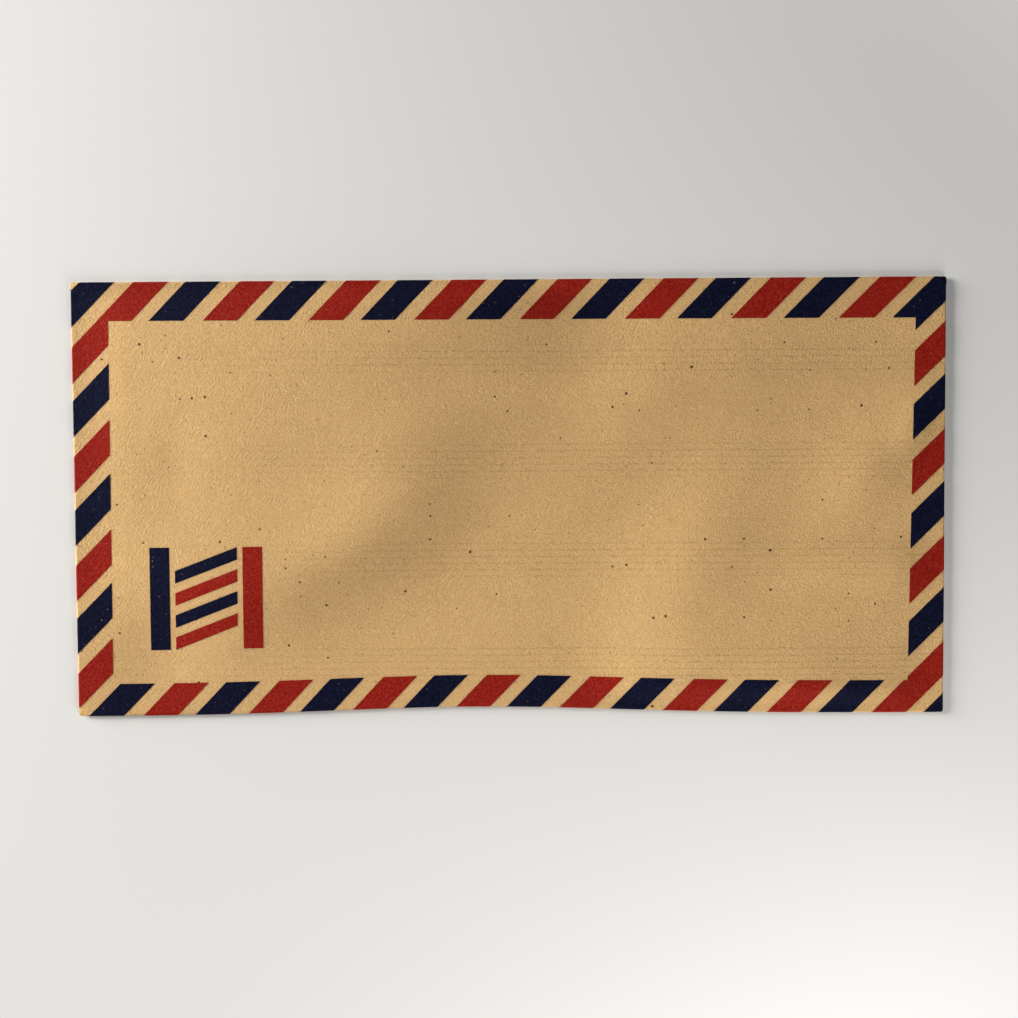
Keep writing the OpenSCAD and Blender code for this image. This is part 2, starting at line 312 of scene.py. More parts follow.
def new_tree(name, inputs, outputs, kind="GeometryNodeTree"):
    """A tree whose inputs and outputs have names, each with the kind of its socket."""
    tree = bpy.data.node_groups.new(name, kind)
    for way, sockets in (("INPUT", inputs), ("OUTPUT", outputs)):
        for label, form in sockets.items():
            tree.interface.new_socket(label, in_out=way, socket_type="NodeSocket" + form)
    return tree, tree.nodes.new("NodeGroupInput").outputs, tree.nodes.new("NodeGroupOutput").inputs


def end_tree(tree, shape, given, gives):
    """Ends a tree of Geometry Nodes: makes every copy real and gives it the material."""
    real = add(tree, "GeometryNodeRealizeInstances", {"Geometry": shape})
    done = add(tree, "GeometryNodeSetMaterial", {"Geometry": real, "Material": given["Material"]})
    tree.links.new(done.outputs[0], gives["Geometry"])


def plain_mesh(mesh, name, tree=None, values=(), thickness=0.0):
    """Runs a tree on a mesh, or gives it a thickness, and returns the result as a plain mesh."""
    carrier = bpy.data.objects.new(name, mesh)
    bpy.context.scene.collection.objects.link(carrier)
    if tree:
        modifier = carrier.modifiers.new(tree.name, "NODES")
        modifier.node_group = tree
        inputs = [item for item in tree.interface.items_tree if item.in_out == "INPUT"]
        sockets = {item.name: item.identifier for item in inputs}
        for label, value in dict(values).items():
            modifier[sockets[label]] = value
    if thickness:
        solid = carrier.modifiers.new("thickness", "SOLIDIFY")
        solid.thickness = thickness
        solid.offset = 0
    ready = carrier.evaluated_get(bpy.context.evaluated_depsgraph_get())
    result = bpy.data.meshes.new_from_object(ready)
    result.name = name
    bpy.data.objects.remove(carrier)
    return result


# %% [markdown]
# ## Colours
# The colours are written in sRGB hex and turned to the linear values that the renderer works in.
# They were judged on the photograph where the light is even: a warm light brown for the kraft
# paper, with dark bark and pale fibres, and for each ink its full colour and a paler one where it
# is thin.

# %% Turn hex colours to linear ones
def linear(code):
    """Linear red, green, blue and alpha of an sRGB colour such as #c8a06c."""
    parts = [int(code[n : n + 2], 16) / 255 for n in (1, 3, 5)]
    return [p / 12.92 if p <= 0.04045 else ((p + 0.055) / 1.055) ** 2.4 for p in parts] + [1.0]


KRAFT, KRAFT_DARK, KRAFT_PALE = "#c8a06a", "#3c2816", "#ecd09c"
RED, RED_PALE = "#83130a", "#9e3527"
NAVY, NAVY_PALE = "#05071a", "#1b1e3a"
print("kraft paper, linear:", [round(part, 3) for part in linear(KRAFT)])

# %% [markdown]
# ## The grain that paper and ink share
# Kraft paper is unbleached pulp, pressed between felts and rolls and left rough. Close up it has a
# pitted grain of about half a millimetre, short fibres that lie this way and that, a few dark
# specks of bark, and in some places fine straight ribs from the rolls, 1.67 mm apart. Ink is far
# thinner than the paper, so it dips and rises with the same grain. Both materials therefore take
# their relief from one group of nodes, which reads the object's own coordinates, turned to
# millimetres. The ribs and the fibres are masks with a function each, and the group joins them.

# %% Draw the ribs
RIB_PITCH, RIB_EDGE, RIB_CORE = 1.67, 0.34, 0.06  # from line to line, and a line's half widths
RIB_WANDER = 0.5  # how far a line follows the grain and the clouds
RIB_BANDS, BAND_EDGE = [(35.0, 3.6), (9.8, 4.4), (-15.4, 4.6), (-41.7, 4.6)], 0.8
BREAK_SCALE, BREAK_GONE, BREAK_WHOLE = (0.3, 1.4, 1.0), 0.34, 0.6  # where a line is broken
FAINT_X, CLEAR_X, FAINTEST = -95.0, -10.0, 0.3  # fainter towards the left


def rib_lines(tree, place, grain, cloud):
    """Mask of the ribs: fine lines in a few bands along the sheet, broken here and there."""
    axes = add(tree, "ShaderNodeSeparateXYZ", {"Vector": place}).outputs
    height = axes["Y"]
    for noise in (grain, cloud):
        height = add(tree, MATH, {0: noise, 1: RIB_WANDER, 2: height}, operation="MULTIPLY_ADD")
    phase = add(tree, MATH, {0: height, 1: RIB_PITCH, 2: 0.0}, operation="WRAP")
    off = add(tree, MATH, {0: phase, 1: RIB_PITCH / 2}, operation="SUBTRACT")
    off = add(tree, MATH, {0: off}, operation="ABSOLUTE")
    ribs = {"Value": off, "From Min": RIB_EDGE, "From Max": RIB_CORE}
    ribs = add(tree, MAP_RANGE, ribs, clamp=True)

    bands = None
    for middle, half in RIB_BANDS:
        off = add(tree, MATH, {0: axes["Y"], 1: middle}, operation="SUBTRACT")
        off = add(tree, MATH, {0: off}, operation="ABSOLUTE")
        band = {"Value": off, "From Min": half + BAND_EDGE, "From Max": half - BAND_EDGE}
        band = add(tree, MAP_RANGE, band, clamp=True)
        if bands:
            band = add(tree, MATH, {0: bands, 1: band}, operation="MAXIMUM")
        bands = band
    clear = {"Value": axes["X"], "From Min": FAINT_X, "From Max": CLEAR_X, "To Min": FAINTEST}
    clear = add(tree, MAP_RANGE, clear, clamp=True)
    broken = add(tree, "ShaderNodeMapping", {"Vector": place, "Scale": BREAK_SCALE})
    broken = {"Vector": broken, "Scale": 1.0, "Detail": 3.0, "Roughness": 0.8}
    broken = add(tree, "ShaderNodeTexNoise", broken)
    broken = {"Value": broken, "From Min": BREAK_GONE, "From Max": BREAK_WHOLE}
    broken = add(tree, MAP_RANGE, broken, clamp=True)
    for mask in (bands, clear, broken):
        ribs = add(tree, MATH, {0: ribs, 1: mask}, operation="MULTIPLY")
    return ribs


# %% Strew the fibres
FIBRE_W, FIBRE_L, FIBRE_CURL = 0.3, 1.6, 0.4
FIBRE_LAYERS = [(0.6, 0.0), (1.0, 31.0), (-0.5, 67.0)]  # turn in radians, shift in mm
FIBRE_EDGE, FIBRE_CORE = 0.66, 0.78


def fibre_strands(tree, place):
    """Mask of the fibres: in each layer, the crests of a noise that is stretched along them."""
    fibres = None
    for turn, shift in FIBRE_LAYERS:
        laid = {"Vector": place, "Location": (shift, 0, 0), "Rotation": (0, 0, turn)}
        laid["Scale"] = (FIBRE_L, FIBRE_W, 1)
        lying = add(tree, "ShaderNodeMapping", laid, vector_type="TEXTURE")
        strand = {"Vector": lying, "Scale": 1.0, "Detail": 0.0, "Distortion": FIBRE_CURL}
        strand = add(tree, "ShaderNodeTexNoise", strand)
        strand = {"Value": strand, "From Min": FIBRE_EDGE, "From Max": FIBRE_CORE}
        strand = add(tree, MAP_RANGE, strand, clamp=True)
        if fibres:
            strand = add(tree, MATH, {0: fibres, 1: strand}, operation="MAXIMUM")
        fibres = strand
    return fibres


# %% Build the grain group
GRAIN, GRAIN_LONG, GRAIN_SHORT = 0.45, 1.4, 0.85
GRAIN_TURN = math.radians(45)
CLOUD = 11.0
PULP = {"Detail": 3.0, "Roughness": 0.6}


def grain_group():
    """Relief and tone of the paper: grain, cloud, ribs and fibres, each about 0 to 1."""
    masks = dict.fromkeys(("Grain", "Cloud", "Ribs", "Fibres"), "Float")
    tree, given, gives = new_tree("paper grain", {"Millimetres": "Vector"}, masks, "ShaderNodeTree")
    place = given["Millimetres"]
    pits = (GRAIN * GRAIN_LONG, GRAIN * GRAIN_SHORT, GRAIN)
    along = {"Vector": place, "Rotation": (0, 0, GRAIN_TURN), "Scale": pits}
    along = add(tree, "ShaderNodeMapping", along, vector_type="TEXTURE")
    grain = add(tree, "ShaderNodeTexNoise", {"Vector": along, "Scale": 1.0, **PULP})
    cloud = add(tree, "ShaderNodeTexNoise", {"Vector": place, "Scale": 1 / CLOUD, **PULP})
    ribs, fibres = rib_lines(tree, place, grain, cloud), fibre_strands(tree, place)
    for label, mask in zip(masks, (grain, cloud, ribs, fibres)):
        tree.links.new(mask.outputs[0], gives[label])
    return tree


grain_tree = grain_group()
print("grain group:", len(grain_tree.nodes), "nodes")

# %% [markdown]
# ## Kraft paper
# The colour of the pulp is made lighter and darker by a tenth or so: mostly by the grain, a little
# by slow clouds where the pulp lies thicker, and by the ribs. Fibres are paler than the pulp, and
# the dark specks are bark. Each lies in a cell of its own, and a number drawn for the cell decides
# whether it has a speck and how big it is. The paper isn't coated, so it hardly shines. The real
# grain is some hundredths of a millimetre deep. It is drawn as a bump of up to a tenth, so that
# it still shows from where the camera stands.

# %% Helpers for both materials
RAGGED = 0.4  # how far the outline of a speck wanders
SPECK_CORE = 0.55  # the part of its radius that has the full colour
GRAIN_H = 0.3  # millimetres for a noise of 0 to 1, of which it uses about a third
RIB_DEPTH, FIBRE_RISE = -0.15, 0.08  # parts of GRAIN_H


def new_material(name, roughness, gloss):
    """A material with a plain shader, whose roughness and gloss are the same all over."""
    material = bpy.data.materials.new(name)
    material.use_nodes = True
    shader = material.node_tree.nodes["Principled BSDF"]
    shader.inputs["Roughness"].default_value = roughness
    shader.inputs["Specular IOR Level"].default_value = gloss
    return material, material.node_tree, shader


def millimetres(tree):
    """The object's own coordinates, in millimetres."""
    place = add(tree, "ShaderNodeTexCoord").outputs["Object"]
    return add(tree, "ShaderNodeMapping", {"Vector": place, "Scale": (1 / MM, 1 / MM, 1 / MM)})


def specks(tree, place, cell, share, radii):
    """Mask of round specks: a share of the cells has one. Most are near the smaller radius."""
    ragged = add(tree, "ShaderNodeTexNoise", {"Vector": place, "Scale": 1 / RAGGED, "Detail": 1.0})
    ragged = add(tree, VECTOR_MATH, {0: ragged.outputs["Color"], "Scale": RAGGED}, operation="SCALE")
    moved = add(tree, VECTOR_MATH, {0: place, 1: ragged}, operation="ADD")
    drawn = {"Vector": moved, "Scale": 1 / cell, "Randomness": 1.0}
    cells = add(tree, "ShaderNodeTexVoronoi", drawn, voronoi_dimensions="2D")
    draw = add(tree, "ShaderNodeSeparateColor", {"Color": cells.outputs["Color"]})
    few_large = add(tree, MATH, {0: draw.outputs["Green"], 1: 2.0}, operation="POWER")
    size = {"Value": few_large, "To Min": radii[0] / cell, "To Max": radii[1] / cell}
    size = add(tree, MAP_RANGE, size)
    core = add(tree, MATH, {0: size, 1: SPECK_CORE}, operation="MULTIPLY")
    disc = {"Value": cells.outputs["Distance"], "From Min": size, "From Max": core}
    disc = add(tree, MAP_RANGE, disc, clamp=True)
    chosen = add(tree, MATH, {0: draw.outputs["Red"], 1: share}, operation="LESS_THAN")
    return add(tree, MATH, {0: disc, 1: chosen}, operation="MULTIPLY")


def tinted(tree, colour, mask, strength, tint):
    """The colour, mixed with a tint as far as a mask and its strength say."""
    share = add(tree, MATH, {0: mask, 1: strength}, operation="MULTIPLY")
    mixed = {"Factor": share, "A": colour, "B": linear(tint)}
    return add(tree, "ShaderNodeMix", mixed, data_type="RGBA").outputs[2]


def finish_material(tree, shader, colour, grain, depth):
    """Links the colour, and a bump of the grain with the ribs pressed in and the fibres raised."""
    relief = grain.outputs["Grain"]
    for part, much in (("Ribs", RIB_DEPTH), ("Fibres", FIBRE_RISE)):
        scaled = add(tree, MATH, {0: grain.outputs[part], 1: much}, operation="MULTIPLY")
        relief = add(tree, MATH, {0: relief, 1: scaled}, operation="ADD")
    bump = add(tree, "ShaderNodeBump", {"Height": relief, "Strength": 1.0, "Distance": depth * MM})
    tree.links.new(colour, shader.inputs["Base Color"])
    tree.links.new(bump.outputs[0], shader.inputs["Normal"])


# %% Make the kraft paper
PAPER_ROUGHNESS, PAPER_GLOSS = 0.8, 0.15
TONES = [("Grain", 0.64, 0.5), ("Cloud", 0.12, 0.5), ("Ribs", -0.16, 0.0)]
FIBRE_TINT = 0.2
MOTE_CELL, MOTE_SHARE, MOTE_RADII, MOTE_TINT = 1.7, 0.16, (0.14, 0.34), 0.4
BARK_CELL, BARK_SHARE, BARK_RADII, BARK_TINT = 3.3, 0.10, (0.12, 0.46), 1.0


def kraft_paper():
    """Pulp with its tones, then fibres, faint motes and dark bark laid over it."""
    name = "kraft paper, unbleached and uncoated"
    material, tree, shader = new_material(name, PAPER_ROUGHNESS, PAPER_GLOSS)
    place = millimetres(tree)
    grain = add(tree, "ShaderNodeGroup", {"Millimetres": place}, node_tree=grain_tree)
    tone = 1.0
    for part, strength, middle in TONES:
        change = add(tree, MATH, {0: grain.outputs[part], 1: middle}, operation="SUBTRACT")
        change = add(tree, MATH, {0: change, 1: strength}, operation="MULTIPLY")
        tone = add(tree, MATH, {0: tone, 1: change}, operation="ADD")
    colour = add(tree, VECTOR_MATH, {0: linear(KRAFT)[:3], "Scale": tone}, operation="SCALE")
    motes = specks(tree, place, MOTE_CELL, MOTE_SHARE, MOTE_RADII)
    bark = specks(tree, place, BARK_CELL, BARK_SHARE, BARK_RADII)
    colour = tinted(tree, colour, grain.outputs["Fibres"], FIBRE_TINT, KRAFT_PALE)
    colour = tinted(tree, colour, motes, MOTE_TINT, KRAFT_DARK)
    colour = tinted(tree, colour, bark, BARK_TINT, KRAFT_DARK)
    finish_material(tree, shader, colour, grain, GRAIN_H)
    return material


paper_material = kraft_paper()
print(paper_material.name, len(paper_material.node_tree.nodes), "nodes")

# %% [markdown]
# ## Printing ink on kraft
# The inks are thin flexographic inks, laid down wet by a soft plate and soaked up unevenly. On the
# crests of the grain the ink is rubbed thinner, so it is mottled, and here and there a pinhole
# shows the paper. The film fills half of the grain and is a little smoother than the paper, which
# gives the dark navy a faint haze on the side of the light. One function makes both inks, and only
# their colours differ.

# %% Make the two inks
INK_ROUGHNESS, INK_GLOSS = 0.75, 0.04
INK_GRAIN = 0.5
THIN_FROM, THIN_TO = 0.42, 0.76
PINHOLE_CELL, PINHOLE_SHARE, PINHOLE_RADII, PINHOLE_TINT = 1.5, 0.10, (0.06, 0.16), 0.45


def printing_ink(name, full, thin):
    """An ink that goes from its full to its thin colour on the crests, with pinholes."""
    material, tree, shader = new_material(name, INK_ROUGHNESS, INK_GLOSS)
    place = millimetres(tree)
    grain = add(tree, "ShaderNodeGroup", {"Millimetres": place}, node_tree=grain_tree)
    worn = {"Value": grain.outputs["Grain"], "From Min": THIN_FROM, "From Max": THIN_TO}
    worn = add(tree, MAP_RANGE, worn, clamp=True)
    holes = specks(tree, place, PINHOLE_CELL, PINHOLE_SHARE, PINHOLE_RADII)
    film = tinted(tree, linear(full), worn, 1.0, thin)
    colour = tinted(tree, film, holes, PINHOLE_TINT, KRAFT)
    finish_material(tree, shader, colour, grain, GRAIN_H * INK_GRAIN)
    return material


red_material = printing_ink("red flexographic ink on kraft", RED, RED_PALE)
navy_material = printing_ink("navy flexographic ink on kraft", NAVY, NAVY_PALE)
print("inks:", red_material.name, "and", navy_material.name)

# %% [markdown]
# ## The soft relief of the front
# An empty envelope is never flat. Its front stands up in low cushions where the paper has been
# bent and let go. Each is no more than about two millimetres high, and where they meet they reach
# less than three. Light from the side draws them in broad bands of light and dark. A cloth
# simulation would give some such shape, but not this one. So the relief is a sum of soft bumps,
# placed after the light and shade of the photograph.

# %% List the bumps
BUMPS = [
    # Place x and y, half length, half width, turn and height, in mm and degrees
    ("cushion on the upper left", -61, 29, 44, 37, -49, 2.14),
    ("fullness at the top", -18, 49, 37, 21, 22, 1.96),
    ("cushion on the lower left", -72, -20, 23, 15, 5, 1.72),
    ("its lower right flank", -43, -15, 29, 11, 31, 1.52),
    ("ledge beside the flank", -27, 7, 20, 15, 41, 1.33),
    ("ridge across the middle", 20, 3, 28, 16, 55, 2.03),
    ("valley that climbs to the right", 30, 1, 66, 17, 24, -1.43),
    ("valley that climbs to the top", 20, 21, 61, 15, 86, -1.12),
    ("long crest at the upper right", 35, 27, 57, 6, 5, 1.6),
    ("crest on the right", 46, -22, 51, 14, 74, 1.4),
    ("cushion on the lower right", 58, -44, 32, 14, 26, 2.02),
    ("fullness at the lower right", 79, -53, 20, 12, 15, 1.97),
    ("pinch on the right", 90, 6, 12, 8, 60, 0.86),
    ("ridge by the right fold", 107, 19, 9, 6, 43, 1.97),
    ("fullness by the right fold", 108, -18, 60, 6, -5, 0.84),
    ("dent by the left fold", -84, 9, 11, 6, 79, -0.28),
    ("hollow at the lower left", -88, -38, 11, 14, 0, -0.71),
    ("hollow by the bottom fold", 22, -46, 11, 10, 0, -0.25),
]
print("relief:", len(BUMPS), "bumps, highest", max(bump[-1] for bump in BUMPS), "mm")

# %% [markdown]
# ## The tree that lifts the front
# The relief is a tree of Geometry Nodes, so the paper and both inks can be lifted by the very same
# rule, and the films stay on the paper everywhere. Towards the folds it fades to nothing. The same
# tree bows the bottom fold up in the middle by two millimetres, and that bends all the layers.
# The print was measured in the picture as if the front were flat. But a raised point shows further
# out, so before the lift each printed point is moved towards the point under the camera, by as
# much as its height will carry it outwards. Eye is the camera's place, and Sight is one over its
# distance. The paper is given neither, so its points only rise.

# %% Build the tree of one bump and add up all of them
def bump_tree():
    """Height of one soft bump at the point where it is asked for."""
    inputs = {"Place": "Vector", "Half size": "Vector", "Turn": "Float", "Height": "Float"}
    tree, given, gives = new_tree("soft bump", inputs, {"Lift": "Float"})
    point = add(tree, "GeometryNodeInputPosition")
    away = add(tree, VECTOR_MATH, {0: point, 1: given["Place"]}, operation="SUBTRACT")
    flat = add(tree, VECTOR_MATH, {0: away, 1: (1, 1, 0)}, operation="MULTIPLY")
    turned = {"Vector": flat, "Angle": given["Turn"]}
    turned = add(tree, "ShaderNodeVectorRotate", turned, rotation_type="Z_AXIS", invert=True)
    share = add(tree, VECTOR_MATH, {0: turned, 1: given["Half size"]}, operation="DIVIDE")
    square = add(tree, VECTOR_MATH, {0: share, 1: share}, operation="DOT_PRODUCT")
    minus = add(tree, MATH, {0: square.outputs["Value"], 1: -1.0}, operation="MULTIPLY")
    bell = add(tree, MATH, {0: minus}, operation="EXPONENT")
    lift = add(tree, MATH, {0: bell, 1: given["Height"]}, operation="MULTIPLY")
    tree.links.new(lift.outputs[0], gives["Lift"])
    return tree


def sum_of_bumps(tree):
    """One group for each bump, and the sum of their heights."""
    one_bump = bump_tree()
    total = None
    for name, x, y, half_length, half_width, turn, height in BUMPS:
        sizes = {
            "Place": (x * MM, y * MM, 0),
            "Half size": (half_length * MM, half_width * MM, 1),
            "Turn": math.radians(turn),
            "Height": height * MM,
        }
        bump = add(tree, "GeometryNodeGroup", sizes, node_tree=one_bump, label=name)
        if total:
            bump = add(tree, MATH, {0: total, 1: bump}, operation="ADD")
        total = bump
    return total


# %% Build the tree that lifts the front
FADE_X, FADE_Y = 14.0, 7.0
BOW, BOW_X, BOW_W, BOW_REACH = 2.0, -8.0, 50.0, 60.0
FRONT_FROM = 0.75  # what lies above this part of the stack is the front


def bottom_bow(tree, given, axes):
    """How far a point moves up the sheet: a bell along the bottom fold that fades upwards."""
    along = axes["X"]
    steps = {"SUBTRACT": BOW_X * MM, "DIVIDE": BOW_W * MM, "POWER": 2.0, "MULTIPLY": -1.0}
    for operation, by in steps.items():
        along = add(tree, MATH, {0: along, 1: by}, operation=operation)
    along = add(tree, MATH, {0: along}, operation="EXPONENT")
    bottom = add(tree, MATH, {0: given["Fold Y"], 1: -1.0}, operation="MULTIPLY")
    reach = add(tree, MATH, {0: bottom, 1: BOW_REACH * MM}, operation="ADD")
    near = {"Value": axes["Y"], "From Min": reach, "From Max": bottom}
    near = add(tree, MAP_RANGE, near, interpolation_type="SMOOTHSTEP")
    up = add(tree, MATH, {0: along, 1: near}, operation="MULTIPLY")
    return add(tree, MATH, {0: up, 1: given["Bow"]}, operation="MULTIPLY")


def relief_tree():
    """Lifts the front by the sum of its bumps, and bows the bottom fold of every layer."""
    lengths = ("Fold X", "Fold Y", "Fade X", "Fade Y", "Front above", "Bow")
    inputs = {"Geometry": "Geometry", **dict.fromkeys(lengths, "Float")}
    inputs |= {"Eye": "Vector", "Sight": "Float", "Material": "Material"}
    tree, given, gives = new_tree("soft relief", inputs, {"Geometry": "Geometry"})
    total = sum_of_bumps(tree)
    point = add(tree, "GeometryNodeInputPosition")
    axes = add(tree, "ShaderNodeSeparateXYZ", {"Vector": point}).outputs
    for axis in "XY":
        fold, fade = given["Fold " + axis], given["Fade " + axis]
        side = add(tree, MATH, {0: axes[axis]}, operation="ABSOLUTE")
        full = add(tree, MATH, {0: fold, 1: fade}, operation="SUBTRACT")
        rise = {"Value": side, "From Min": fold, "From Max": full}
        rise = add(tree, MAP_RANGE, rise, interpolation_type="SMOOTHSTEP")
        total = add(tree, MATH, {0: total, 1: rise}, operation="MULTIPLY")
    in_front = add(tree, MATH, {0: axes["Z"], 1: given["Front above"]}, operation="GREATER_THAN")
    lift = add(tree, MATH, {0: total, 1: in_front}, operation="MULTIPLY")

    from_eye = add(tree, VECTOR_MATH, {0: given["Eye"], 1: point}, operation="SUBTRACT")
    level = add(tree, VECTOR_MATH, {0: from_eye, 1: (1, 1, 0)}, operation="MULTIPLY")
    share = add(tree, MATH, {0: lift, 1: given["Sight"]}, operation="MULTIPLY")
    inward = add(tree, VECTOR_MATH, {0: level, "Scale": share}, operation="SCALE")
    aimed = add(tree, "GeometryNodeSetPosition", {"Geometry": given["Geometry"], "Offset": inward})
    offset = add(tree, "ShaderNodeCombineXYZ", {"Y": bottom_bow(tree, given, axes), "Z": lift})
    moved = add(tree, "GeometryNodeSetPosition", {"Geometry": aimed, "Offset": offset})
    end_tree(tree, moved, given, gives)
    return tree


lift_tree = relief_tree()
lift_sizes = {
    "Fold X": fold_x * MM,
    "Fold Y": fold_y * MM,
    "Fade X": FADE_X * MM,
    "Fade Y": FADE_Y * MM,
    "Front above": (front_z - PAPER) * FRONT_FROM * MM,
    "Bow": BOW * MM,
}
print("tree that lifts:", len(lift_tree.nodes), "nodes")

# %% [markdown]
# ## The sheet of paper
# The folded sheet is lifted by that tree, and then it gets the thickness of the paper on both sides
# of its middle. Its faces are shaded smooth, except where they meet at the sharp raw edge, so the
# small folds look round and the cut edges stay crisp.

# %% Finish the sheet
SHARP = math.radians(40)


def finish_piece(mesh, name, node):
    """Shades a mesh smooth between sharp edges, and lets it stand for its solid."""
    mesh.shade_smooth()
    mesh.set_sharp_from_angle(angle=SHARP)
    piece = bpy.data.objects.new(name, mesh)
    bpy.context.scene.collection.objects.link(piece)
    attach(piece, "root")
    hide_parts(node)
    print(name, sum(len(face.vertices) - 2 for face in mesh.polygons), "triangles")


lift_paper = {**lift_sizes, "Material": paper_material}
lifted = plain_mesh(flat_sheet, "lifted_sheet", lift_tree, lift_paper)
paper_mesh = plain_mesh(lifted, "kraft_sheet", thickness=PAPER * MM)
finish_piece(paper_mesh, "kraft_sheet", "envelope")

# %% [markdown]
# ## The striped border
# An airmail border is one family of slanting stripes, red and navy in turn, seen through a frame.
# So the stripes aren't placed one by one: a tree of Geometry Nodes makes one slanting bar, repeats
# it along a line, and each ink runs it with its own first place. The same tree also makes
# the bars of the badge, which slant the other way. The bars are grids, so that they can bend.

# %% Build the tree that repeats bars
def bars_tree():
    """A row of bars that lean sideways or climb, each a grid of small cells."""
    inputs = {"Geometry": "Geometry", "First": "Vector", "Step": "Vector", "Material": "Material"}
    inputs |= dict.fromkeys(("Count", "Cells across", "Cells up"), "Int")
    inputs |= dict.fromkeys(("Width", "Height", "Lean", "Climb"), "Float")
    tree, given, gives = new_tree("row of bars", inputs, {"Geometry": "Geometry"})
    grid = {
        "Size X": given["Width"],
        "Size Y": given["Height"],
        "Vertices X": given["Cells across"],
        "Vertices Y": given["Cells up"],
    }
    bar = add(tree, "GeometryNodeMeshGrid", grid).outputs["Mesh"]
    point = add(tree, "GeometryNodeInputPosition")
    axes = add(tree, "ShaderNodeSeparateXYZ", {"Vector": point}).outputs
    lean = add(tree, MATH, {0: axes["Y"], 1: given["Lean"]}, operation="MULTIPLY")
    climb = add(tree, MATH, {0: axes["X"], 1: given["Climb"]}, operation="MULTIPLY")
    shift = add(tree, "ShaderNodeCombineXYZ", {"X": lean, "Y": climb})
    slanted = add(tree, "GeometryNodeSetPosition", {"Geometry": bar, "Offset": shift})
    row = {"Count": given["Count"], "Start Location": given["First"], "Offset": given["Step"]}
    row = add(tree, "GeometryNodeMeshLine", row, mode="OFFSET")
    placed = add(tree, "GeometryNodeInstanceOnPoints", {"Points": row, "Instance": slanted})
    end_tree(tree, placed, given, gives)
    return tree


row_tree = bars_tree()
print("tree that repeats:", len(row_tree.nodes), "nodes")

# %% [markdown]
# ## Stripes of one ink
# Print stretches with the paper, so the stripes aren't quite evenly spaced: they spread towards the
# right end. That drift is a sum of powers of the place along the sheet, and a part of it grows with
# the place across the sheet. It is added once the bars are plain meshes.

# %% Repeat the stripes
STRIPE_W, STRIPE_PITCH, STRIPE_LAG, STRIPE_SHIFT = 8.6, 26.39, 13.47, 3.44
STRIPE_ANGLE = math.radians(43.8)
STRIPE_OVER = 1.0
CELL = 0.6
DRIFT_ALONG = {2: -0.25, 3: 1.36, 4: 0.42}  # mm for each power
DRIFT_ACROSS = {1: 0.6, 4: 0.57}
DRIFT_END = 1.1


def row_of_bars(name, count, first, step, width, height, lean=0.0, climb=0.0):
    """Runs the tree with sizes in millimetres and returns the bars, still flat."""
    values = {
        "Count": count,
        "First": [first[0] * MM, first[1] * MM, 0.0],
        "Step": [step[0] * MM, step[1] * MM, 0.0],
        "Width": width * MM,
        "Height": height * MM,
        "Lean": lean,
        "Climb": climb,
        "Cells across": math.ceil(width / CELL) + 1,
        "Cells up": math.ceil(height / CELL) + 1,
    }
    return plain_mesh(bpy.data.meshes.new(name), name, row_tree, values)


def drift(x, y):
    """How far the print has wandered along the sheet: most at the upper right, 2.7 mm."""
    a, b = np.clip(x / half_x, -DRIFT_END, DRIFT_END), y / half_y
    along = sum(much * a**power for power, much in DRIFT_ALONG.items())
    return along + b * sum(much * a**power for power, much in DRIFT_ACROSS.items())


def stripes(name, middle):
    """Every stripe of one ink across the whole front, from one's place on the middle line."""
    reach = 2 * (half_y + STRIPE_OVER)
    most = math.ceil((half_x + half_y) / STRIPE_PITCH)
    first, step = (middle - most * STRIPE_PITCH, 0.0), (STRIPE_PITCH, 0.0)
    bars = row_of_bars(name, 2 * most + 1, first, step, STRIPE_W, reach, math.tan(STRIPE_ANGLE))
    for vert in bars.vertices:
        vert.co.x += drift(vert.co.x / MM, vert.co.y / MM) * MM
    return bars


print("drift at the right end, mm:", [round(float(drift(half_x, y)), 2) for y in (-half_y, half_y)])

# %% [markdown]
# ## Trimming and laying the print
# The printed frame isn't quite square with the folds: its inner edges lean by up to a degree, as
# prints on cheap envelopes do. The stripes are cut along those edges, and along the folds, where
# the print runs on by less than a millimetre round the bend. What lies inside the frame is taken
# out. The extra cuts at the bends and the tips let the film bend where the paper does.
# Then each point goes from the flat print to the outside of the folded paper, a hair above it.

# %% Trim the stripes to the border
BLEED, BEND_CUT = 0.8, 0.1
INNER = [(-101.0, -46.75), (100.9, -46.75), (102.3, 44.8), (-100.55, 45.25)]
ON_CUT = 1e-9


